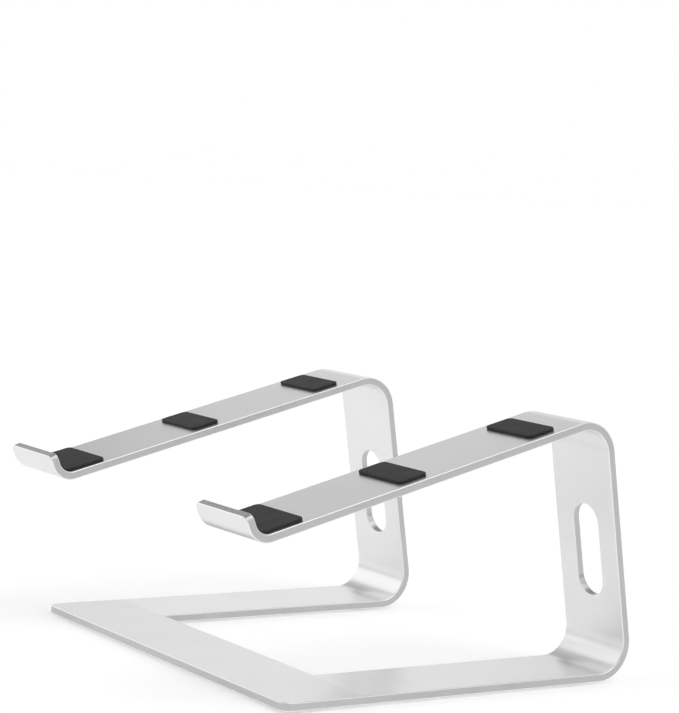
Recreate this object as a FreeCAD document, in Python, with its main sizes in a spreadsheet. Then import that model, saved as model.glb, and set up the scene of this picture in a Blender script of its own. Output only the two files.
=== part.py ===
import FreeCAD, Part

# Laptop stand: two bent aluminium strip legs joined by a flat front bar. Each leg is one strip that
# runs back as a foot, turns up into a column with a cable slot, turns forward into a sloping arm and
# ends in a hook with an upright lip. A tongue on each foot laps into the bar's underside, where three
# countersunk screws hold it. Rubber lines the hooks and sits on the arms and under the base.
# Frame: +X to the user's right, +Y to the back, +Z up; the origin is on the desk, under the middle.

import math
import os
import re

import Sketcher
from FreeCAD import Placement, Rotation, Vector

SIZES = [
    # alias, value in mm or degrees, meaning
    ("stand_width", 260, "over both legs, which is the front bar's length"),
    ("strip_width", 50, "width of each leg"),
    ("plate", 4.5, "thickness of the legs and the front bar"),
    ("bar_depth", 50, "front bar, front to back"),
    ("bar_corner", 6, "radius of the front bar's two front corners"),
    ("foot_flat", 156, "foot, from the seam to the rear bend"),
    ("column_flat", 106, "straight part of the column"),
    ("arm_flat", 201, "straight part of the arm"),
    ("lip_flat", 6.5, "straight part of the lip"),
    ("rear_bend", 20, "outside radius where the foot meets the column"),
    ("top_bend", 20, "outside radius where the column meets the arm"),
    ("hook_bend", 12, "outside radius of the hook"),
    ("column_lean", 11, "angle by which the column leans forward from upright"),
    ("arm_slope", 15, "angle by which the arm falls towards the front"),
    ("hook_turn", 82, "angle from the arm to the lip"),
    ("lip_corner", 3.5, "radius of the lip's two top corners"),
    ("edge_break", 0.5, "chamfer along the plates' edges"),
    ("slot_width", 21, "cable slot, across the column"),
    ("slot_length", 53, "cable slot, along the column"),
    ("slot_rise", 47, "cable slot's centre above the rear bend's end"),
    ("tongue_width", 38, "tongue that laps under the front bar"),
    ("tongue_length", 14, "how far the tongue reaches past the seam"),
    ("tongue_plate", 1.9, "thickness of the tongue"),
    ("tongue_room", 0.2, "room around the tongue in its pocket"),
    ("screw_pitch", 12, "screw to screw across a joint"),
    ("screw_setback", 7, "screws in front of the seam"),
    ("screw_hole", 3.3, "clearance hole in the tongue, diameter"),
    ("screw_seat", 6.5, "countersink in the tongue, diameter"),
    ("thread_hole", 3, "tapped hole in the bar, diameter"),
    ("thread_depth", 2.15, "tapped hole above the pocket, depth"),
    ("screw_shank", 2.96, "screw thread, diameter"),
    ("screw_head", 5.9, "screw head, diameter"),
    ("screw_rim", 0.2, "straight rim of the countersunk head"),
    ("screw_length", 3.95, "screw, head included"),
    ("screw_sink", 0.05, "screw head below the tongue's face"),
    ("key_flats", 2, "screw's hexagon socket, across its flats"),
    ("key_depth", 1.1, "screw's hexagon socket, depth"),
    ("rubber", 1.5, "thickness of the hook linings and the arm pads"),
    ("lining_width", 44, "hook lining, across the arm"),
    ("lining_run", 22, "hook lining, along the arm"),
    ("lining_rise", 5, "hook lining, up the lip"),
    ("arm_pad_width", 40, "arm pad, across the arm"),
    ("arm_pad_length", 18, "arm pad, along the arm"),
    ("arm_pad_front", 92, "front arm pad's centre, along the arm from the hook"),
    ("arm_pad_rear", 178, "rear arm pad's centre, along the arm from the hook"),
    ("foot_pad_width", 34, "rubber foot, left to right"),
    ("foot_pad_length", 14, "rubber foot, front to back"),
    ("foot_pad_height", 1.5, "rubber foot, which lifts the plates by this"),
    ("foot_pad_front", 15, "front feet behind the bar's front edge"),
    ("foot_pad_middle", 82, "middle feet behind the bar's front edge"),
    ("foot_pad_rear", 192, "rear feet behind the bar's front edge"),
    ("pad_corner", 3, "corner radius of the pads and feet"),
]

SIDES = {"left": -1, "right": 1}
SCREWS = {"outer": 1, "middle": 0, "inner": -1}
START, END, CENTRE = 1, 2, 3    # the points of a sketch's line or arc
AXIS_X, AXIS_Y = -1, -2         # a sketch's own axes; the start of either is the sketch's origin
TOUCH = 1e-6                    # mm: closer than this counts as touching
VOLUME_SLACK = 0.001            # share by which a bent strip's volume may miss its section times length

doc = FreeCAD.newDocument("laptop_stand")


def make_sheet():
    """The driving dimensions, one a row: the meaning, then the aliased number."""
    page = doc.addObject("Spreadsheet::Sheet", "Sizes")
    for row, (alias, value, meaning) in enumerate(SIZES, start=1):
        page.set(f"A{row}", meaning)
        page.set(f"B{row}", str(value))
        page.setAlias(f"B{row}", alias)
    doc.recompute()
    return page


sheet = make_sheet()


def value(formula):
    """A formula in sheet aliases, worked out now."""
    return float(sheet.evalExpression(formula))


def bind(item, prop, formula):
    """Tie a property to a formula in sheet aliases."""
    aliases = {alias for alias, _, _ in SIZES}
    item.setExpression(prop, re.sub(r"[a-z_]+", lambda m: "Sizes." * (m[0] in aliases) + m[0], formula))


# ---------------------------------------------------------------- sketches

def new_sketch(body, role, name, lift=None):
    """An empty sketch on one of the body's own origin planes, or at a placement from that plane."""
    sketch = body.newObject("Sketcher::SketchObject", name)
    plane = next(item for item in body.Origin.OriginFeatures if item.Role == role)
    sketch.AttachmentSupport = (plane, [""])
    sketch.MapMode = "FlatFace"
    if lift is not None:
        sketch.AttachmentOffset = lift
    return sketch


def dimension(sketch, name, formula, *constraint):
    """Add a driving dimension whose value is a formula."""
    now = value(formula)
    if constraint[0] == "Angle":
        now = math.radians(now)
    index = sketch.addConstraint(Sketcher.Constraint(*constraint, now))
    sketch.renameConstraint(index, name)
    bind(sketch, f"Constraints.{name}", formula)


def polygon(sketch, points):
    """A closed outline of straight lines; gives back the lines' numbers."""
    corners = [Vector(*point) for point in points]
    lines = [sketch.addGeometry(Part.LineSegment(a, b)) for a, b in zip(corners, corners[1:] + corners[:1])]
    for this, after in zip(lines, lines[1:] + lines[:1]):
        sketch.addConstraint(Sketcher.Constraint("Coincident", this, END, after, START))
    return lines


def rectangle(sketch, width, depth, left, bottom, name="rect"):
    """A rectangle with its lower left corner at (left, bottom); all four are formulas."""
    across, up, x, y = value(width), value(depth), value(left), value(bottom)
    lines = polygon(sketch, [(x, y), (x + across, y), (x + across, y + up), (x, y + up)])
    for line, way in zip(lines, ["Horizontal", "Vertical"] * 2):
        sketch.addConstraint(Sketcher.Constraint(way, line))
    dimension(sketch, f"{name}_width", width, "DistanceX", lines[0], START, lines[0], END)
    dimension(sketch, f"{name}_depth", depth, "DistanceY", lines[1], START, lines[1], END)
    dimension(sketch, f"{name}_left", left, "DistanceX", AXIS_X, START, lines[0], START)
    dimension(sketch, f"{name}_bottom", bottom, "DistanceY", AXIS_X, START, lines[0], START)


def circle(sketch, diameter, x, y, name):
    """A circle of a given diameter about (x, y); all three are formulas."""
    spot = sketch.addGeometry(Part.Circle(Vector(value(x), value(y)), Vector(0, 0, 1), value(diameter) / 2))
    dimension(sketch, f"{name}_diameter", diameter, "Diameter", spot)
    dimension(sketch, f"{name}_x", x, "DistanceX", AXIS_X, START, spot, CENTRE)
    dimension(sketch, f"{name}_y", y, "DistanceY", AXIS_X, START, spot, CENTRE)


# ---------------------------------------------------------------- bent strips

def walk(start, heading, steps):
    """Follow a strip's middle line: steps are ("flat", length) or ("bend", radius, turn)."""
    here, legs = Vector(*start), []
    for kind, extent, *turn in steps:
        ahead = Vector(math.cos(math.radians(heading)), math.sin(math.radians(heading)))
        if kind == "flat":
            there = here + ahead * value(extent)
            legs.append({"kind": kind, "from": here, "to": there, "heading": heading, "size": extent})
        else:
            angle, radius = value(turn[0]), value(extent)
            inward = Vector(-ahead.y, ahead.x) * math.copysign(radius, angle)
            centre = here + inward
            swing = Rotation(Vector(0, 0, 1), angle)
            there = centre + swing.multVec(here - centre)
            middle = centre + Rotation(Vector(0, 0, 1), angle / 2).multVec(here - centre)
            legs.append({"kind": kind, "from": here, "to": there, "middle": middle, "centre": centre,
                         "heading": heading, "size": extent, "turn": angle})
            heading += angle
        here = there
    return legs


def draw_walk(sketch, legs, start, headings):
    """Draw a walk as a chain of lines and tangent arcs, with every size a formula."""
    last = None
    for number, leg in enumerate(legs):
        if leg["kind"] == "flat":
            edge = sketch.addGeometry(Part.LineSegment(leg["from"], leg["to"]))
            near, far = START, END
            dimension(sketch, f"flat_{number}", leg["size"], "Distance", edge)
        else:
            edge = sketch.addGeometry(Part.Arc(leg["from"], leg["middle"], leg["to"]))
            near, far = (START, END) if leg["turn"] > 0 else (END, START)
            dimension(sketch, f"bend_{number}", leg["size"], "Radius", edge)
        if last is not None:
            sketch.addConstraint(Sketcher.Constraint("Tangent", last[0], last[1], edge, near))
        last = (edge, far)
    sketch.addConstraint(Sketcher.Constraint("Horizontal", 0))
    dimension(sketch, "start_x", start[0], "DistanceX", AXIS_X, START, 0, START)
    dimension(sketch, "start_y", start[1], "DistanceY", AXIS_X, START, 0, START)
    flats = [number for number, leg in enumerate(legs) if leg["kind"] == "flat"]
    for number, formula in zip(flats[1:], headings):
        dimension(sketch, f"heading_{number}", formula, "Angle", number)


# ---------------------------------------------------------------- features

def new_body(label):
    body = doc.addObject("PartDesign::Body", label)
    body.Label = label
    return body


def feature(body, kind, name, profile=None):
    item = body.newObject(f"PartDesign::{kind}", name)
    if profile is not None:
        item.Profile = profile
        profile.Visibility = False
    return item


def pad(body, name, sketch, length):
    item = feature(body, "Pad", name, sketch)
    bind(item, "Length", length)
    return item


def cut(body, name, sketch, depth=None, both_ways=False, upward=False):
    """A pocket: a formula's depth or right through, and it must take material away."""
    doc.recompute()
    before = body.Shape.Volume
    item = feature(body, "Pocket", name, sketch)
    item.Reversed = upward
    if both_ways:
        item.SideType = "Symmetric"
    if depth is None:
        item.Type = "ThroughAll"
    else:
        bind(item, "Length", depth)
    doc.recompute()
    if body.Shape.Volume > before - TOUCH:
        raise RuntimeError(f"{body.Label}: {name} cut nothing")
    return item


def dress(body, kind, name, prop, formula, wanted):
    """A fillet or chamfer on every edge that wanted() accepts, by its middle point and the edge."""
    doc.recompute()
    tip = body.Tip
    names = [f"Edge{number}" for number, edge in enumerate(tip.Shape.Edges, start=1)
             if wanted(edge.CenterOfMass, edge)]
    if not names:
        raise RuntimeError(f"{body.Label}: no edge for {name}")
    item = feature(body, kind, name)
    item.Base = (tip, names)
    bind(item, prop, formula)
    doc.recompute()
    return item


def bent_strip(body, legs, start, headings, width, thickness, bottom):
    """Sweep a strip's section along its walk, in the body's own YZ plane."""
    path = new_sketch(body, "YZ_Plane", "Path")
    draw_walk(path, legs, start, headings)
    section = new_sketch(body, "XZ_Plane", "Section", Placement(Vector(0, 0, -value(start[0])), Rotation()))
    bind(section, "AttachmentOffset.Base.z", f"-({start[0]})")
    rectangle(section, width, thickness, f"-({width}) / 2", bottom)
    strip = feature(body, "AdditivePipe", "Strip", section)
    strip.Spine = (path, [f"Edge{number}" for number in range(1, len(legs) + 1)])
    path.Visibility = False
    doc.recompute()
    ideal = sum(edge.Length for edge in path.Shape.Edges) * value(width) * value(thickness)
    if abs(body.Shape.Volume / ideal - 1) > VOLUME_SLACK:
        raise RuntimeError(f"{body.Label}: the strip's volume is not its section times its length")


def along_x(half):
    """A test for edges whose ends all lie a half width left or right of the middle."""
    return lambda middle, edge: all(abs(abs(end.X) - half) < TOUCH for end in edge.Vertexes)


def through(thickness):
    """A test for the straight edges that run through a sheet of this thickness."""
    return lambda middle, edge: abs(edge.Length - thickness) < TOUCH and len(edge.Vertexes) == 2


# ---------------------------------------------------------------- the leg's middle line

LEG_X = "stand_width / 2 - strip_width / 2"
LEG_STEPS = [
    ("flat", "foot_flat"),
    ("bend", "rear_bend - plate / 2", "90 + column_lean"),
    ("flat", "column_flat"),
    ("bend", "top_bend - plate / 2", "90 - column_lean + arm_slope"),
    ("flat", "arm_flat"),
    ("bend", "hook_bend - plate / 2", "-hook_turn"),
    ("flat", "lip_flat"),
]
LEG_HEADINGS = ["90 + column_lean", "arm_slope - 180", "180 + arm_slope - hook_turn"]
LEG_START = ("bar_depth", "plate / 2")

foot, rear_bend, column, top_bend, arm, hook, lip = walk([value(part) for part in LEG_START], 0, LEG_STEPS)
LEG_WALK = [foot, rear_bend, column, top_bend, arm, hook, lip]


def turned(angle):
    """The YZ plane's direction at this angle from the back, as a vector of the stand's frame."""
    return Vector(0, math.cos(math.radians(angle)), math.sin(math.radians(angle)))


def in_frame(point):
    """A point of the walk in the leg's own frame."""
    return Vector(0, point.x, point.y)


# The stand reaches from the lip's outer top edge to the back of the rear bend.
lip_front = in_frame(lip["to"]) + turned(lip["heading"] + 90) * value("plate / 2")
middle_y = (lip_front.y + rear_bend["centre"].x + value("rear_bend")) / 2


def spot(x, y, z=0.0):
    """Where a piece goes: x from the middle, y behind the bar's front edge, z above the plates' underside."""
    return Vector(x, y - middle_y, z + value("foot_pad_height"))


# ---------------------------------------------------------------- the pieces

def make_leg(side):
    body = new_body(f"{side}_leg")
    bent_strip(body, LEG_WALK, LEG_START, LEG_HEADINGS, "strip_width", "plate", "0")

    lap = new_sketch(body, "XY_Plane", "Tongue_outline")
    rectangle(lap, "tongue_width", "tongue_length + plate", "-tongue_width / 2", "bar_depth - tongue_length")
    pad(body, "Tongue", lap, "tongue_plate")

    holes = new_sketch(body, "XY_Plane", "Screw_holes")
    for name, place in SCREWS.items():
        circle(holes, "screw_hole", f"{place} * screw_pitch", "bar_depth - screw_setback", name)
    cut(body, "Screw_clearance", holes, "2 * tongue_plate", upward=True)
    dress(body, "Chamfer", "Countersinks", "Size", "(screw_seat - screw_hole) / 2",
          lambda middle, edge: len(edge.Vertexes) == 1 and abs(middle.z) < TOUCH)

    up_column = in_frame(column["from"]) + turned(column["heading"]) * value("slot_rise")
    lean = Placement(Vector(0, up_column.z, -up_column.y), Rotation(Vector(1, 0, 0), value("column_lean")))
    slot = new_sketch(body, "XZ_Plane", "Slot_outline", lean)
    obround(slot, "slot_width", "slot_length")
    cut(body, "Cable_slot", slot, "4 * plate", both_ways=True)

    lip_end = in_frame(lip["to"])
    at_lip_end = lambda middle: Vector(0, middle.y, middle.z).distanceToPoint(lip_end) < value("plate")
    passes = through(value("plate"))
    dress(body, "Fillet", "Lip_corners", "Radius", "lip_corner",
          lambda middle, edge: passes(middle, edge) and at_lip_end(middle))
    at_side, at_slot = along_x(value("strip_width / 2")), along_x(value("slot_width / 2"))
    dress(body, "Chamfer", "Broken_edges", "Size", "edge_break",
          lambda middle, edge: not passes(middle, edge)
          and (at_side(middle, edge) or at_slot(middle, edge) or at_lip_end(middle)))
    body.Placement = Placement(spot(SIDES[side] * value(LEG_X), 0), Rotation())


def obround(sketch, width, length):
    """A slot outline about the sketch's origin: two straight sides and two half circles."""
    radius, reach = value(f"({width}) / 2"), value(f"(({length}) - ({width})) / 2")
    corners = [(-radius, reach), (-radius, -reach), (radius, -reach), (radius, reach)]
    down_a, down_b, up_a, up_b = (Vector(*corner) for corner in corners)
    left = sketch.addGeometry(Part.LineSegment(down_a, down_b))
    low = sketch.addGeometry(Part.Arc(down_b, Vector(0, -reach - radius), up_a))
    right = sketch.addGeometry(Part.LineSegment(up_a, up_b))
    high = sketch.addGeometry(Part.Arc(up_b, Vector(0, reach + radius), down_a))
    ring = [left, low, right, high]
    for this, after in zip(ring, ring[1:] + ring[:1]):
        sketch.addConstraint(Sketcher.Constraint("Tangent", this, END, after, START))
    sketch.addConstraint(Sketcher.Constraint("Vertical", left))
    sketch.addConstraint(Sketcher.Constraint("PointOnObject", low, CENTRE, AXIS_Y))
    sketch.addConstraint(Sketcher.Constraint("Symmetric", low, CENTRE, high, CENTRE, AXIS_X, START))
    dimension(sketch, "radius", f"({width}) / 2", "Radius", low)
    dimension(sketch, "spread", f"({length}) - ({width})", "DistanceY", low, CENTRE, high, CENTRE)


def make_front_bar():
    body = new_body("front_bar")
    outline = new_sketch(body, "XY_Plane", "Outline")
    rectangle(outline, "stand_width", "bar_depth", "-stand_width / 2", "0")
    pad(body, "Plate", outline, "plate")
    passes = through(value("plate"))
    dress(body, "Fillet", "Front_corners", "Radius", "bar_corner",
          lambda middle, edge: passes(middle, edge) and middle.y < TOUCH)

    laps = new_sketch(body, "XY_Plane", "Lap_outlines")
    threads = new_sketch(body, "XY_Plane", "Thread_circles")
    for side, sign in SIDES.items():
        rectangle(laps, "tongue_width + 2 * tongue_room", "tongue_length + tongue_room + plate",
                  f"{sign} * ({LEG_X}) - tongue_width / 2 - tongue_room",
                  "bar_depth - tongue_length - tongue_room", side)
        for name, place in SCREWS.items():
            circle(threads, "thread_hole", f"{sign} * ({LEG_X}) + {sign * place} * screw_pitch",
                   "bar_depth - screw_setback", f"{side}_{name}")
    cut(body, "Laps", laps, "tongue_plate", upward=True)
    cut(body, "Tapped_holes", threads, "tongue_plate + thread_depth", upward=True)
    dress(body, "Chamfer", "Broken_edges", "Size", "edge_break",
          lambda middle, edge: abs(middle.z - value("plate")) < TOUCH
          or (abs(middle.z) < TOUCH and middle.y < value("bar_depth / 2 + bar_corner")
              and (middle.y < value("bar_corner") or abs(middle.x) > value("stand_width / 2") - TOUCH)))
    body.Placement = Placement(spot(0, 0), Rotation())


def make_screw(side, name):
    """A countersunk screw: its head's face at z = 0, its thread upwards."""
    body = new_body(f"{side}_screw_{name}")
    outline = new_sketch(body, "XZ_Plane", "Half_outline")
    head, shank, rim, tip = (value(part) for part in
                             ("screw_head / 2", "screw_shank / 2", "screw_rim", "screw_length"))
    neck = rim + head - shank
    lines = polygon(outline, [(0, 0), (head, 0), (head, rim), (shank, neck), (shank, tip), (0, tip)])
    face, edge, cone, thread, end, axis = lines
    for line in (face, end):
        outline.addConstraint(Sketcher.Constraint("Horizontal", line))
    for line in (edge, thread, axis):
        outline.addConstraint(Sketcher.Constraint("Vertical", line))
    outline.addConstraint(Sketcher.Constraint("Coincident", face, START, AXIS_X, START))
    dimension(outline, "head", "screw_head / 2", "DistanceX", face, START, face, END)
    dimension(outline, "rim", "screw_rim", "DistanceY", edge, START, edge, END)
    dimension(outline, "neck", "(screw_head - screw_shank) / 2", "DistanceY", cone, START, cone, END)
    dimension(outline, "shank", "screw_shank / 2", "DistanceX", end, END, end, START)
    dimension(outline, "length", "screw_length", "DistanceY", axis, END, axis, START)
    turned_part = feature(body, "Revolution", "Blank", outline)
    turned_part.ReferenceAxis = (outline, ["V_Axis"])

    key = new_sketch(body, "XY_Plane", "Hexagon")
    ring = key.addGeometry(Part.Circle(Vector(), Vector(0, 0, 1), value("key_flats / sqrt(3)")), True)
    key.addConstraint(Sketcher.Constraint("Coincident", ring, CENTRE, AXIS_X, START))
    dimension(key, "across_corners", "2 * key_flats / sqrt(3)", "Diameter", ring)
    corners = [Vector(value("key_flats / sqrt(3)")) for _ in range(6)]
    corners = [Rotation(Vector(0, 0, 1), 60 * number).multVec(spoke) for number, spoke in enumerate(corners)]
    sides = polygon(key, [(corner.x, corner.y) for corner in corners])
    for line in sides:
        key.addConstraint(Sketcher.Constraint("PointOnObject", line, START, ring))
    for line in sides[1:]:
        key.addConstraint(Sketcher.Constraint("Equal", sides[0], line))
    key.addConstraint(Sketcher.Constraint("Horizontal", sides[1]))
    cut(body, "Socket", key, "key_depth", upward=True)
    across = SIDES[side] * value(f"{LEG_X} + {SCREWS[name]} * screw_pitch")
    seat = spot(across, value("bar_depth - screw_setback"), value("screw_sink"))
    body.Placement = Placement(seat, Rotation())


def make_hook_lining(side):
    """A rubber strip that lies on the arm's end and follows the hook's inside up the lip."""
    body = new_body(f"{side}_hook_lining")
    start = ("-lining_run", "hook_bend - plate - rubber / 2")
    steps = [("flat", "lining_run"), ("bend", "hook_bend - plate - rubber / 2", "-hook_turn"),
             ("flat", "lining_rise")]
    legs = walk([value(part) for part in start], 0, steps)
    bent_strip(body, legs, start, ["-hook_turn"], "lining_width", "rubber", "hook_bend - plate - rubber")
    dress(body, "Fillet", "Corners", "Radius", "pad_corner", through(value("rubber")))
    centre = spot(SIDES[side] * value(LEG_X), hook["centre"].x, hook["centre"].y)
    body.Placement = Placement(centre, Rotation(Vector(1, 0, 0), arm["heading"]))


def make_pad(label, width, length, height, placement):
    """A flat rubber pad with round corners, standing on its own origin."""
    body = new_body(label)
    outline = new_sketch(body, "XY_Plane", "Outline")
    rectangle(outline, width, length, f"-{width} / 2", f"-{length} / 2")
    pad(body, "Block", outline, height)
    dress(body, "Fillet", "Corners", "Radius", "pad_corner", through(value(height)))
    body.Placement = placement


def make_arm_pad(side, end):
    on_top = in_frame(hook["from"]) + turned(value("90 + arm_slope")) * value("plate / 2")
    centre = on_top + turned(value("arm_slope")) * value(f"arm_pad_{end}")
    make_pad(f"{side}_arm_pad_{end}", "arm_pad_width", "arm_pad_length", "rubber",
             Placement(spot(SIDES[side] * value(LEG_X), centre.y, centre.z),
                       Rotation(Vector(1, 0, 0), value("arm_slope"))))


def make_foot_pad(side, place):
    under = spot(SIDES[side] * value(LEG_X), value(f"foot_pad_{place}"), -value("foot_pad_height"))
    make_pad(f"{side}_foot_pad_{place}", "foot_pad_width", "foot_pad_length", "foot_pad_height",
             Placement(under, Rotation()))


def check(bodies):
    """Stop on a failed feature, a missing shape or one that is not a single sound solid."""
    broken = [item.Label for item in doc.Objects if {"Invalid", "Error"} & set(item.State)]
    if broken:
        raise RuntimeError(f"failed: {broken}")
    loose = [item.Label for item in doc.Objects
             if item.TypeId == "Sketcher::SketchObject" and not item.FullyConstrained]
    if loose:
        raise RuntimeError(f"sketches not fully dimensioned: {loose}")
    for body in bodies:
        shape = body.Shape
        if shape.isNull() or not shape.isValid() or len(shape.Solids) != 1 or shape.Volume <= 0:
            raise RuntimeError(f"{body.Label} is not one sound solid")


def main():
    make_front_bar()
    for side in SIDES:
        make_leg(side)
        for name in SCREWS:
            make_screw(side, name)
        make_hook_lining(side)
        for end in ("front", "rear"):
            make_arm_pad(side, end)
        for place in ("front", "middle", "rear"):
            make_foot_pad(side, place)
    doc.recompute()

    bodies = [item for item in doc.Objects if item.TypeId == "PartDesign::Body"]
    check(bodies)
    os.makedirs("parts", exist_ok=True)
    whole = FreeCAD.BoundBox()
    for body in bodies:
        body.Shape.exportStep(f"parts/{body.Label}.step")
        whole.add(body.Shape.BoundBox)
        print(f"{body.Label:24s} {body.Shape.Volume:10.1f} mm3")
    print(f"{len(bodies)} pieces; x {whole.XMin:.2f} to {whole.XMax:.2f}, "
          f"y {whole.YMin:.2f} to {whole.YMax:.2f}, z {whole.ZMin:.2f} to {whole.ZMax:.2f} mm")


main()
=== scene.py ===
# A laptop stand of satin anodised aluminium: a flat front bar and two bent strip legs, with rubber in
# the hooks, on the arms and under the base, and countersunk screws underneath. Units are metres.

import math
from collections import namedtuple

import bmesh
import bpy
from mathutils import Matrix, Vector


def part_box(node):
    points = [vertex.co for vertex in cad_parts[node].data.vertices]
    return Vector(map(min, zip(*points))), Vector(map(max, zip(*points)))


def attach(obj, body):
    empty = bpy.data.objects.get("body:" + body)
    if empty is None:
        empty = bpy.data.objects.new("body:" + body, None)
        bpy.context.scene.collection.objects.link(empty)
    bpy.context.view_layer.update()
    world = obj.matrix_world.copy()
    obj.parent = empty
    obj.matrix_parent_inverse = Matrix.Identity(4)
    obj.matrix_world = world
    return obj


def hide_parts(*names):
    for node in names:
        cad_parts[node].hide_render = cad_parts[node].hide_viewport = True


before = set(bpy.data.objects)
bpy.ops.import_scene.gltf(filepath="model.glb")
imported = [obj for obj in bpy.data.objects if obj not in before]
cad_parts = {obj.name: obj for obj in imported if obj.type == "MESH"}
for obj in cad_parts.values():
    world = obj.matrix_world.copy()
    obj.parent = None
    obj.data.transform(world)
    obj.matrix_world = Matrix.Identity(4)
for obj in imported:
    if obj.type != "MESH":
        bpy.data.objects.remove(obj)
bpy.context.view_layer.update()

MM = 0.001
BODY = "root"
SIDES = {"left": -1, "right": 1}
SCREWS = ("outer", "middle", "inner")

# Bends, flats, cut-outs, screws and rubber, as designed. The plate's thickness and widths, and where the
# pieces sit, come from the frame.
REAR_BEND, TOP_BEND, HOOK_BEND = 20 * MM, 20 * MM, 12 * MM      # outside radii
COLUMN_LEAN, ARM_SLOPE, HOOK_TURN = 11, 15, 82                  # degrees
COLUMN_FLAT, ARM_FLAT, LIP_FLAT = 106 * MM, 201 * MM, 6.5 * MM
SLOT_WIDTH, SLOT_LENGTH, SLOT_RISE = 21 * MM, 53 * MM, 47 * MM
LIP_CORNER, BAR_CORNER, PAD_CORNER = 3.5 * MM, 6 * MM, 3 * MM
TONGUE_WIDTH, TONGUE_LENGTH, TONGUE_PLATE, TONGUE_ROOM = 38 * MM, 14 * MM, 1.9 * MM, 0.2 * MM
SCREW_HOLE, SCREW_SEAT, THREAD_HOLE, THREAD_DEPTH = 3.3 * MM, 6.5 * MM, 3 * MM, 2.15 * MM
SCREW_HEAD, SCREW_SHANK, SCREW_RIM = 5.9 * MM, 2.96 * MM, 0.2 * MM
KEY_FLATS, KEY_DEPTH, SCREW_BEVEL = 2 * MM, 1.1 * MM, 0.1 * MM
RUBBER, LINING_WIDTH, LINING_RUN, LINING_RISE = 1.5 * MM, 44 * MM, 22 * MM, 5 * MM
ARM_PAD_WIDTH, ARM_PAD_LENGTH = 40 * MM, 18 * MM

PLATE_EDGE, RUBBER_EDGE = 0.5 * MM, 0.35 * MM                   # how far edges are rounded over
BUTT_EDGE = 0.2                                                 # share of that where a sheet butts
BEND_STEP = 2.5                                                 # degrees that a facet of a bend turns
CORNER_STEPS, EDGE_STEPS, ROUND_STEPS = 10, 3, 48               # facets of a corner, an edge, a circle
SHARP_EDGE = math.radians(40)                                   # edges that turn more are shaded sharp
SAME_PLACE = 0.002 * MM                                         # vertices nearer than this are one
ON_MIDDLE = 1e-9                                                # nearer than this to the middle line is on it

BAR_FACE, LEG_FACE, BAR_WALL_PAINTED_SHADE, LEG_WALL_PAINTED_SHADE, EDGE_GREY_WITH_PAINTED_HIGHLIGHT = 0.745, 0.79, 0.52, 0.50, 0.88   # metal greys; the walls' darker greys are painted shade, the edge's lighter grey is partly a painted highlight
TONE_SWING = 0.016                                              # how far a metal's tone strays from its grey
COOLNESS = (0, 0.002, 0.005)                                    # added to a metal's red, green and blue
PATTERN_MIDDLE = (0.3, 0.7)                                     # the range that most of a noise lies in

CAMERA_PLACE = (1.1100, -0.7435, 0.2860)                        # metres
CAMERA_YAW, CAMERA_PITCH, CAMERA_ROLL = 55.82, -5.06, 3.535     # degrees
CAMERA_LENS, CAMERA_SENSOR = 120.27, 36                         # mm

bar_low, bar_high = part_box("front_bar")
leg_low, leg_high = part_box("right_leg")
PLATE = bar_high.z - bar_low.z
PLATE_BOTTOM, PLATE_MIDDLE = bar_low.z, (bar_low.z + bar_high.z) / 2
BAR_FRONT, SEAM = bar_low.y, bar_high.y
STAND_WIDTH, STRIP_WIDTH = bar_high.x - bar_low.x, leg_high.x - leg_low.x
LEG_X = (leg_low.x + leg_high.x) / 2
FOOT_FLAT = leg_high.y - REAR_BEND - SEAM

FACE, ROUNDED, WALL = 0, 1, 2               # material slots of a strip
End = namedtuple("End", "corner edge")      # an end of a blank: its corner radius and its edge's share
SQUARE, BUTT = End(0, 1), End(0, BUTT_EDGE)
Slot = namedtuple("Slot", "centre width length")


# ---------------------------------------------------------------- paths of bent strips

def toward(angle):
    """The direction in the YZ plane that points this many degrees above the back."""
    return Vector((0, math.cos(math.radians(angle)), math.sin(math.radians(angle))))


class Path:
    """A strip's middle line in the YZ plane, made of flats and bends and measured along itself."""

    def __init__(self, start, heading):
        self.stations = [(0.0, Vector(start), heading)]

    @property
    def length(self):
        return self.stations[-1][0]

    def flat(self, length):
        along, here, heading = self.stations[-1]
        self.stations.append((along + length, here + toward(heading) * length, heading))
        return self

    def bend(self, radius, turn):
        along, here, heading = self.stations[-1]
        inward = heading + math.copysign(90, turn)
        centre = here + toward(inward) * radius
        steps = math.ceil(abs(turn) / BEND_STEP)
        for step in range(1, steps + 1):
            part = turn * step / steps
            place = centre - toward(inward + part) * radius
            self.stations.append((along + math.radians(abs(part)) * radius, place, heading + part))
        return self

    def at(self, along):
        """The place and heading this far along the path."""
        for (start, here, heading), (end, there, turned) in zip(self.stations, self.stations[1:]):
            if along <= end:
                break
        share = (along - start) / (end - start)
        return here.lerp(there, share), heading + (turned - heading) * share


def flat_path(start, length, heading=0):
    return Path(start, heading).flat(length)


# ---------------------------------------------------------------- blanks: flat outlines with round edges

def edge_levels(thickness, edge):
    """(inset, height) of each ring down a sheet's side, with its two edges rounded over."""
    turns = [math.radians(90 * step / EDGE_STEPS) for step in range(EDGE_STEPS + 1)] if edge else [0]
    upper = [(edge * (1 - math.sin(turn)), thickness / 2 - edge * (1 - math.cos(turn))) for turn in turns]
    return upper + [(inset, -height) for inset, height in reversed(upper)]


def end_points(width, end, inset):
    """One end's outline from its middle to its side, as (distance from the end, across)."""
    if not end.corner:
        return [(inset * end.edge, width / 2 - inset)]
    turns = [math.radians(90 * step / CORNER_STEPS) for step in range(CORNER_STEPS + 1)]
    reach = end.corner - inset
    return [(end.corner - reach * math.cos(turn), width / 2 - end.corner + reach * math.sin(turn))
            for turn in turns]


def outline_points(length, width, ends, inset, between):
    """The outline's half on the positive side, from the start to the end, as (along, across)."""
    start, end = ends
    first = end_points(width, start, inset)
    last = [(length - back, across) for back, across in reversed(end_points(width, end, inset))]
    return first + [(along, width / 2 - inset) for along in between] + last


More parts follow.
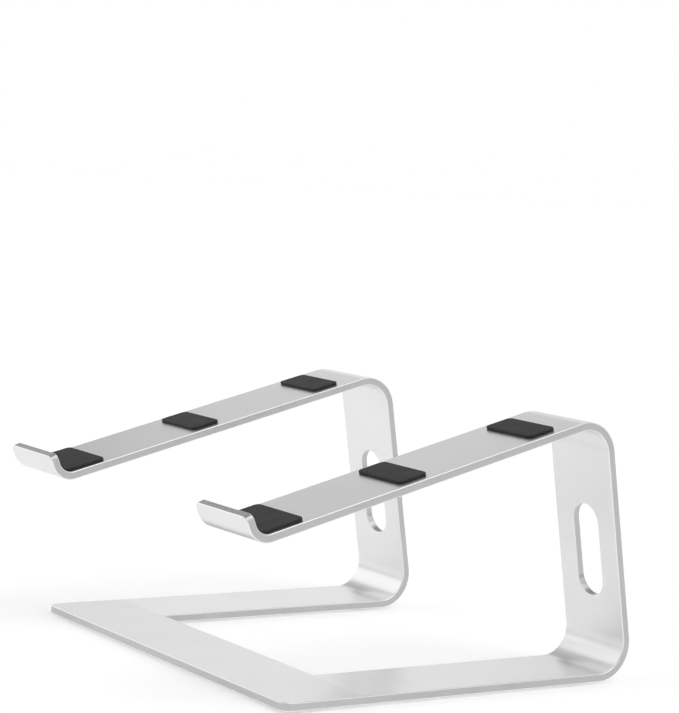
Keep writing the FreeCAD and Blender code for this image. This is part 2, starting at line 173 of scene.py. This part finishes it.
def slot_points(slot, inset):
    """A slot's half on the positive side, from tip to tip, opened out by inset."""
    radius, reach = slot.width / 2 + inset, (slot.length - slot.width) / 2
    turns = [math.radians(90 * step / CORNER_STEPS) for step in range(CORNER_STEPS + 1)]
    near = [(slot.centre - reach - radius * math.cos(turn), radius * math.sin(turn)) for turn in turns]
    far = [(2 * slot.centre - along, across) for along, across in reversed(near)]
    return near + far


def strip(name, path, width, thickness, edge, ends=(SQUARE, SQUARE), slot=None, x=0.0):
    """A blank with rounded edges, bent along its path. The path's left side is the sheet's upper face.

    Its faces, rounded edges and cut walls carry the first, second and third material. With an edge of 0,
    all of it carries the first.
    """
    mesh = bmesh.new()
    slot_tops = [along for along, _ in slot_points(slot, edge)] if slot else []
    reach = [end.corner or edge for end in ends]
    between = sorted({along for along, _, _ in path.stations + [(top, None, None) for top in slot_tops]
                      if reach[0] < along < path.length - reach[1]})

    def place(along, across, height):
        here, heading = path.at(along)
        return mesh.verts.new(here + toward(heading + 90) * height + Vector((x + across, 0, 0)))

    def ring(points, height):
        """Vertices on the positive and the negative side; those on the middle line are shared."""
        plus = [place(along, across, height) for along, across in points]
        minus = [vertex if abs(across) < ON_MIDDLE else place(along, -across, height)
                 for vertex, (along, across) in zip(plus, points)]
        return plus, minus

    levels = edge_levels(thickness, edge)
    outer = [ring(outline_points(path.length, width, ends, inset, between), height)
             for inset, height in levels]
    inner = [ring(slot_points(slot, inset), height) for inset, height in levels] if slot else []

    def loop(plus, minus):
        return plus + [vertex for vertex in reversed(minus) if vertex not in plus]

    for rings, inward in ((outer, False), (inner, True)):
        loops = [loop(*pair) for pair in rings]
        for level, (upper, lower) in enumerate(zip(loops, loops[1:])):
            for a, b, c, d in zip(upper, upper[1:] + upper[:1], lower[1:] + lower[:1], lower):
                face = mesh.faces.new((d, c, b, a) if inward else (a, b, c, d))
                face.material_index = (WALL if level == EDGE_STEPS else ROUNDED) if edge else FACE

    def cap(level, upward):
        """Close the sheet's upper or lower face, leaving the slot open."""
        (plus, minus), corners = outer[level], []
        alongs = [along for along, _ in outline_points(path.length, width, ends, levels[level][0], between)]
        opens = alongs.index(slot_tops[0]) if slot else None
        closes = alongs.index(slot_tops[-1]) if slot else None
        for k in range(len(plus) - 1):
            if slot and opens <= k < closes:
                (slot_plus, slot_minus), j = inner[level], k - opens
                corners.append((plus[k], plus[k + 1], slot_plus[j + 1], slot_plus[j]))
                corners.append((slot_minus[j], slot_minus[j + 1], minus[k + 1], minus[k]))
            elif slot and k + 1 == opens:
                corners.append((plus[k], plus[k + 1], inner[level][0][0], minus[k + 1], minus[k]))
            elif slot and k == closes:
                corners.append((plus[k], plus[k + 1], minus[k + 1], minus[k], inner[level][0][-1]))
            else:
                corners.append((plus[k], plus[k + 1], minus[k + 1], minus[k]))
        for face in corners:
            mesh.faces.new(face if upward else face[::-1])

    cap(0, True)
    cap(-1, False)
    bmesh.ops.recalc_face_normals(mesh, faces=mesh.faces)
    return new_object(name, mesh)


# ---------------------------------------------------------------- turned pieces and mesh helpers

def new_object(name, mesh):
    data = bpy.data.meshes.new(name)
    mesh.to_mesh(data)
    mesh.free()
    piece = bpy.data.objects.new(name, data)
    bpy.context.scene.collection.objects.link(piece)
    return piece


def round_ring(radius):
    return lambda angle: radius


def hexagon_ring(flats):
    return lambda angle: flats / 2 / math.cos(angle % (math.pi / 3) - math.pi / 6)


def turned_piece(name, rings, place=(0, 0, 0)):
    """A closed piece about its own Z axis: rings are (height, radius as a function of the angle)."""
    mesh = bmesh.new()
    angles = [2 * math.pi * step / ROUND_STEPS for step in range(ROUND_STEPS)]
    loops = [[mesh.verts.new((radius(angle) * math.cos(angle), radius(angle) * math.sin(angle), height))
              for angle in angles] for height, radius in rings]
    for low, high in zip(loops, loops[1:]):
        for a, b, c, d in zip(low, low[1:] + low[:1], high[1:] + high[:1], high):
            mesh.faces.new((a, b, c, d))
    mesh.faces.new(loops[0])
    mesh.faces.new(loops[-1])
    bmesh.ops.recalc_face_normals(mesh, faces=mesh.faces)
    piece = new_object(name, mesh)
    piece.location = place
    return piece


def carve(piece, tool, operation="DIFFERENCE"):
    """Cut a tool out of a piece, or join it on, for good."""
    change = piece.modifiers.new("Carve", "BOOLEAN")
    change.object, change.operation, change.solver = tool, operation, "EXACT"
    bpy.context.view_layer.update()
    result = bpy.data.meshes.new_from_object(piece.evaluated_get(bpy.context.evaluated_depsgraph_get()))
    piece.modifiers.remove(change)
    mesh = bmesh.new()
    mesh.from_mesh(result)
    bmesh.ops.dissolve_degenerate(mesh, edges=mesh.edges, dist=SAME_PLACE)
    mesh.to_mesh(result)
    mesh.free()
    piece.data = result
    bpy.data.objects.remove(tool)


def paint(piece, *materials):
    for material in materials:
        piece.data.materials.append(material)


def finish_piece(piece, node):
    """Shade a piece and let it stand for its CAD node."""
    piece.data.shade_smooth()
    piece.data.set_sharp_from_angle(angle=SHARP_EDGE)
    normals = piece.modifiers.new("Normals", "WEIGHTED_NORMAL")
    normals.keep_sharp, normals.weight = True, 100
    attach(piece, BODY)
    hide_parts(node)


# ---------------------------------------------------------------- materials

def new_material(name, **sockets):
    material = bpy.data.materials.new(name)
    material.use_nodes = True
    shader = material.node_tree.nodes["Principled BSDF"]
    for socket, value in sockets.items():
        shader.inputs[socket.replace("_", " ")].default_value = value
    return material, material.node_tree, shader


def noise(tree, scale, detail, roughness=0.5):
    """Cloudy noise fixed to the object, with this many cells to a metre."""
    coordinates = tree.nodes.new("ShaderNodeTexCoord")
    texture = tree.nodes.new("ShaderNodeTexNoise")
    tree.links.new(coordinates.outputs["Object"], texture.inputs["Vector"])
    texture.inputs["Scale"].default_value = scale
    texture.inputs["Detail"].default_value = detail
    texture.inputs["Roughness"].default_value = roughness
    return texture.outputs["Fac"]


def turning_marks(tree, scale, distortion):
    """Fine rings about the object's own Z axis. A higher scale packs them closer."""
    coordinates = tree.nodes.new("ShaderNodeTexCoord")
    texture = tree.nodes.new("ShaderNodeTexWave")
    texture.wave_type, texture.rings_direction = "RINGS", "Z"
    tree.links.new(coordinates.outputs["Object"], texture.inputs["Vector"])
    texture.inputs["Scale"].default_value = scale
    texture.inputs["Distortion"].default_value = distortion
    return texture.outputs["Fac"]


def spread(tree, source, low, high):
    """Map the middle of a pattern's range to these numbers."""
    ranged = tree.nodes.new("ShaderNodeMapRange")
    tree.links.new(source, ranged.inputs["Value"])
    for socket, number in zip(("From Min", "From Max", "To Min", "To Max"), (*PATTERN_MIDDLE, low, high)):
        ranged.inputs[socket].default_value = number
    return ranged.outputs["Result"]


def tint(tree, source, dark, light):
    """Map the middle of a pattern's range to these colours."""
    ramp = tree.nodes.new("ShaderNodeValToRGB")
    tree.links.new(source, ramp.inputs["Fac"])
    for stop, position, colour in zip(ramp.color_ramp.elements, PATTERN_MIDDLE, (dark, light)):
        stop.position, stop.color = position, (*colour, 1)
    return ramp.outputs["Color"]


def relief(tree, shader, source, depth, strength):
    bump = tree.nodes.new("ShaderNodeBump")
    tree.links.new(source, bump.inputs["Height"])
    bump.inputs["Distance"].default_value = depth
    bump.inputs["Strength"].default_value = strength
    tree.links.new(bump.outputs["Normal"], shader.inputs["Normal"])


def greys(shade):
    """The darkest and the lightest tone of a metal, both a touch cool."""
    tones = (shade - TONE_SWING, shade + TONE_SWING)
    return [tuple(tone + cool for cool in COOLNESS) for tone in tones]


def make_aluminium(name, shade):
    """Bead-blasted and clear anodised: a fine even grain with the faintest cloudiness."""
    material, tree, shader = new_material(name, Metallic=1.0)
    clouds = noise(tree, scale=22, detail=3)
    grain = noise(tree, scale=3600, detail=3, roughness=0.6)
    tree.links.new(tint(tree, clouds, *greys(shade)), shader.inputs["Base Color"])
    tree.links.new(spread(tree, grain, low=0.26, high=0.35), shader.inputs["Roughness"])
    relief(tree, shader, grain, depth=0.015 * MM, strength=0.25)
    return material


def make_edge_with_painted_highlight():
    """The machined edge break, with no relief. Its grey, lighter than the blasted faces, is partly the
    polished edge's own brightness and partly a painted highlight.
    """
    material, tree, shader = new_material("aluminium_edge_painted_highlight", Metallic=1.0)
    grain = noise(tree, scale=1800, detail=2)
    # partly painted highlight: the edge's grey is set lighter so that the edges show a bright line
    tree.links.new(tint(tree, grain, *greys(EDGE_GREY_WITH_PAINTED_HIGHLIGHT)), shader.inputs["Base Color"])
    tree.links.new(spread(tree, grain, low=0.28, high=0.36), shader.inputs["Roughness"])
    return material


def make_wall_with_painted_shade(name, shade):
    """The sheet's cut sides: milled, so a little smoother than the blasted faces. Their darker grey is
    painted shade, standing in for the shade the sides fall in.
    """
    material, tree, shader = new_material(name, Metallic=1.0)
    clouds = noise(tree, scale=60, detail=3)
    grain = noise(tree, scale=2200, detail=3, roughness=0.6)
    # painted shade: the walls' grey is set darker than the faces for the shade that falls on the sides
    tree.links.new(tint(tree, clouds, *greys(shade)), shader.inputs["Base Color"])
    tree.links.new(spread(tree, grain, low=0.24, high=0.32), shader.inputs["Roughness"])
    relief(tree, shader, grain, depth=0.015 * MM, strength=0.3)
    return material


def make_rubber():
    """Matt dark grey silicone rubber with a fine moulded grain."""
    material, tree, shader = new_material("grey_rubber", Specular_IOR_Level=0.35)
    clouds = noise(tree, scale=90, detail=4)
    grain = noise(tree, scale=1500, detail=4, roughness=0.7)
    colour = tint(tree, clouds, dark=(0.018, 0.018, 0.019), light=(0.034, 0.034, 0.036))
    tree.links.new(colour, shader.inputs["Base Color"])
    tree.links.new(spread(tree, grain, low=0.58, high=0.74), shader.inputs["Roughness"])
    relief(tree, shader, grain, depth=0.12 * MM, strength=0.6)
    return material


def make_screw_steel():
    """Turned stainless steel with fine marks round the axis."""
    material, tree, shader = new_material("screw_steel", Metallic=1.0)
    marks = turning_marks(tree, scale=900, distortion=0.6)
    colour = tint(tree, marks, dark=(0.52, 0.515, 0.50), light=(0.60, 0.595, 0.58))
    tree.links.new(colour, shader.inputs["Base Color"])
    tree.links.new(spread(tree, marks, low=0.22, high=0.34), shader.inputs["Roughness"])
    relief(tree, shader, marks, depth=0.02 * MM, strength=0.3)
    return material


# ---------------------------------------------------------------- the pieces

def leg_path():
    """A leg's middle line: foot, rear bend, column, top bend, arm, hook and lip."""
    half = PLATE / 2
    return (Path((0, SEAM, PLATE_MIDDLE), 0)
            .flat(FOOT_FLAT).bend(REAR_BEND - half, 90 + COLUMN_LEAN)
            .flat(COLUMN_FLAT).bend(TOP_BEND - half, 90 - COLUMN_LEAN + ARM_SLOPE)
            .flat(ARM_FLAT).bend(HOOK_BEND - half, -HOOK_TURN).flat(LIP_FLAT))


def screw_axes(side):
    """(x, y) of a leg's screws."""
    for name in SCREWS:
        low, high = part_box(f"{side}_screw_{name}")
        yield (low.x + high.x) / 2, (low.y + high.y) / 2


def cutters(side, rings):
    """A tool of these rings at each of a leg's screws, standing on the plate's underside."""
    for x, y in screw_axes(side):
        yield turned_piece("cutter", rings, (x, y, PLATE_BOTTOM))


def make_leg(side, metals):
    x = SIDES[side] * LEG_X
    rear_turn = math.radians(90 + COLUMN_LEAN) * (REAR_BEND - PLATE / 2)
    slot = Slot(FOOT_FLAT + rear_turn + SLOT_RISE, SLOT_WIDTH, SLOT_LENGTH)
    leg = strip(f"{side}_leg_strip", leg_path(), STRIP_WIDTH, PLATE, PLATE_EDGE,
                ends=(BUTT, End(LIP_CORNER, 1)), slot=slot, x=x)
    paint(leg, *metals)
    start = (0, SEAM - TONGUE_LENGTH, PLATE_BOTTOM + TONGUE_PLATE / 2)
    carve(leg, strip("tongue", flat_path(start, TONGUE_LENGTH + PLATE), TONGUE_WIDTH, TONGUE_PLATE, 0, x=x),
          "UNION")
    seat, hole = SCREW_SEAT / 2, SCREW_HOLE / 2
    countersink = [(-seat, round_ring(2 * seat)), (seat - hole, round_ring(hole)),
                   (2 * TONGUE_PLATE, round_ring(hole))]
    for cutter in cutters(side, countersink):
        carve(leg, cutter)
    finish_piece(leg, f"{side}_leg")


def make_front_bar(metals):
    path = flat_path((0, BAR_FRONT, PLATE_MIDDLE), SEAM - BAR_FRONT)
    bar = strip("front_bar_plate", path, STAND_WIDTH, PLATE, PLATE_EDGE, ends=(End(BAR_CORNER, 1), BUTT))
    paint(bar, *metals)
    room = TONGUE_LENGTH + TONGUE_ROOM
    for side, sign in SIDES.items():
        start = (0, SEAM - room, PLATE_BOTTOM)
        lap = strip("lap", flat_path(start, room + PLATE), TONGUE_WIDTH + 2 * TONGUE_ROOM,
                    2 * TONGUE_PLATE, 0, x=sign * LEG_X)
        carve(bar, lap)
        tapped = [(0, round_ring(THREAD_HOLE / 2)),
                  (TONGUE_PLATE + THREAD_DEPTH, round_ring(THREAD_HOLE / 2))]
        for cutter in cutters(side, tapped):
            carve(bar, cutter)
    finish_piece(bar, "front_bar")


def make_hook_lining(side, rubber):
    leg = leg_path()
    rise = LIP_FLAT + math.radians(HOOK_TURN) * (HOOK_BEND - PLATE / 2)
    here, heading = leg.at(leg.length - rise - LINING_RUN)
    start = here - toward(heading + 90) * (PLATE + RUBBER) / 2
    path = (Path(start, heading).flat(LINING_RUN)
            .bend(HOOK_BEND - PLATE - RUBBER / 2, -HOOK_TURN).flat(LINING_RISE))
    lining = strip(f"{side}_hook_rubber", path, LINING_WIDTH, RUBBER, RUBBER_EDGE,
                   ends=(End(PAD_CORNER, 1), End(PAD_CORNER, 1)), x=SIDES[side] * LEG_X)
    paint(lining, rubber, rubber, rubber)
    finish_piece(lining, f"{side}_hook_lining")


def make_pad(node, width, length, slope, rubber):
    """A flat pad where the frame has it, lying at this slope."""
    low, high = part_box(node)
    centre = (low + high) / 2
    start = Vector((0, centre.y, centre.z)) - toward(slope) * length / 2
    pad = strip(node + "_rubber", flat_path(start, length, slope), width, RUBBER, RUBBER_EDGE,
                ends=(End(PAD_CORNER, 1), End(PAD_CORNER, 1)), x=centre.x)
    paint(pad, rubber, rubber, rubber)
    finish_piece(pad, node)


def make_screw(node, steel):
    """A countersunk screw with a hexagon socket, head down."""
    low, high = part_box(node)
    head, shank, bevel = SCREW_HEAD / 2, SCREW_SHANK / 2, SCREW_BEVEL
    key, length = hexagon_ring(KEY_FLATS), high.z - low.z
    profile = [
        (KEY_DEPTH + 2 * bevel, round_ring(bevel)), (KEY_DEPTH, key), (bevel, key),
        (0, hexagon_ring(KEY_FLATS + 2 * bevel)), (0, round_ring(head - bevel)), (bevel, round_ring(head)),
        (SCREW_RIM, round_ring(head)), (SCREW_RIM + head - shank, round_ring(shank)),
        (length - 2 * bevel, round_ring(shank)), (length, round_ring(shank - 2 * bevel)),
    ]
    screw = turned_piece(node + "_steel", profile, ((low.x + high.x) / 2, (low.y + high.y) / 2, low.z))
    paint(screw, steel)
    finish_piece(screw, node)


def make_stand():
    edge, rubber, steel = make_edge_with_painted_highlight(), make_rubber(), make_screw_steel()
    # the wall materials carry painted shade, the edge material a partly painted highlight
    make_front_bar((make_aluminium("bar_face", BAR_FACE), edge, make_wall_with_painted_shade("bar_wall_painted_shade", BAR_WALL_PAINTED_SHADE)))
    leg_metals = make_aluminium("leg_face", LEG_FACE), edge, make_wall_with_painted_shade("leg_wall_painted_shade", LEG_WALL_PAINTED_SHADE)
    for side in SIDES:
        make_leg(side, leg_metals)
        make_hook_lining(side, rubber)
        for end in ("front", "rear"):
            make_pad(f"{side}_arm_pad_{end}", ARM_PAD_WIDTH, ARM_PAD_LENGTH, ARM_SLOPE, rubber)
        for place in ("front", "middle", "rear"):
            low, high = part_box(f"{side}_foot_pad_{place}")
            make_pad(f"{side}_foot_pad_{place}", high.x - low.x, high.y - low.y, 0, rubber)
        for name in SCREWS:
            make_screw(f"{side}_screw_{name}", steel)


# ---------------------------------------------------------------- studio

STUDIO_RADIUS, FLOOR_THICKNESS = 14, 0.02                       # metres
FLOOR_WHITE, FLOOR_SWING, FLOOR_GLOW, WORLD_GREY = 0.9, 0.01, 0.33, 0.30
LIGHTS = [
    # name, azimuth (0 is the front, 90 the right side), elevation, strength, breadth; angles in degrees
    ("left", 294, 24, 0.33, 44),
    ("left_wide", 294, 24, 0.20, 70),
    ("back_left", 237, 13, 0.056, 20),
    ("back_left_wide", 238, 12, 0.04, 34),
    ("high_left", 240, 40, 0.10, 50),
    ("front", 345, 8, 0.56, 60),
    ("overhead", 30, 80, 0.20, 80),
    ("top_right", 112, 68, 0.42, 44),
    ("right", 123, 8, 0.18, 50),
    ("high_right", 100, 35, 0.52, 60),
    ("back", 178, 32, 0.30, 60),
]


def make_floor():
    rim = round_ring(STUDIO_RADIUS)
    floor = turned_piece("floor", [(-FLOOR_THICKNESS, rim), (0, rim)])
    material, tree, shader = new_material("floor_paint", Roughness=0.9, Specular_IOR_Level=0.1,
                                          Emission_Color=(1, 1, 1, 1), Emission_Strength=FLOOR_GLOW)
    clouds = noise(tree, scale=6, detail=2)
    colour = tint(tree, clouds, dark=(FLOOR_WHITE,) * 3, light=(FLOOR_WHITE + FLOOR_SWING,) * 3)
    tree.links.new(colour, shader.inputs["Base Color"])
    paint(floor, material)


def make_backdrop():
    """A white dome that only the camera sees: it neither lights the metal nor shows in it."""
    mesh = bmesh.new()
    bmesh.ops.create_uvsphere(mesh, u_segments=64, v_segments=32, radius=STUDIO_RADIUS)
    bmesh.ops.reverse_faces(mesh, faces=mesh.faces)
    dome = new_object("backdrop", mesh)
    material, _, shader = new_material("backdrop_white", Base_Color=(0, 0, 0, 1), Specular_IOR_Level=0,
                                       Emission_Color=(1, 1, 1, 1), Emission_Strength=1.0)
    paint(dome, material)
    dome.visible_diffuse = dome.visible_glossy = dome.visible_transmission = dome.visible_shadow = False


def make_lights():
    """Broad soft lights all round, and a grey world that fills in between them."""
    for name, azimuth, elevation, strength, breadth in LIGHTS:
        data = bpy.data.lights.new(name, "SUN")
        data.energy, data.angle = strength, math.radians(breadth)
        light = bpy.data.objects.new(name, data)
        round_stand = Matrix.Rotation(math.radians(azimuth), 4, "Z")
        light.matrix_world = round_stand @ Matrix.Rotation(math.radians(90 - elevation), 4, "X")
        bpy.context.scene.collection.objects.link(light)
    world = bpy.data.worlds.new("studio")
    bpy.context.scene.world = world
    world.use_nodes = True
    world.node_tree.nodes["Background"].inputs["Color"].default_value = (WORLD_GREY,) * 3 + (1,)


def make_camera():
    data = bpy.data.cameras.new("camera")
    data.lens, data.sensor_width = CAMERA_LENS, CAMERA_SENSOR
    camera = bpy.data.objects.new("camera", data)
    yaw = Matrix.Rotation(math.radians(CAMERA_YAW), 4, "Z")
    pitch = Matrix.Rotation(math.radians(90 + CAMERA_PITCH), 4, "X")
    roll = Matrix.Rotation(math.radians(CAMERA_ROLL), 4, "Z")
    camera.matrix_world = Matrix.Translation(CAMERA_PLACE) @ yaw @ pitch @ roll
    bpy.context.scene.collection.objects.link(camera)
    bpy.context.scene.camera = camera


make_stand()
make_floor()
make_backdrop()
make_lights()
make_camera()
bpy.context.scene.view_settings.view_transform = "Standard"
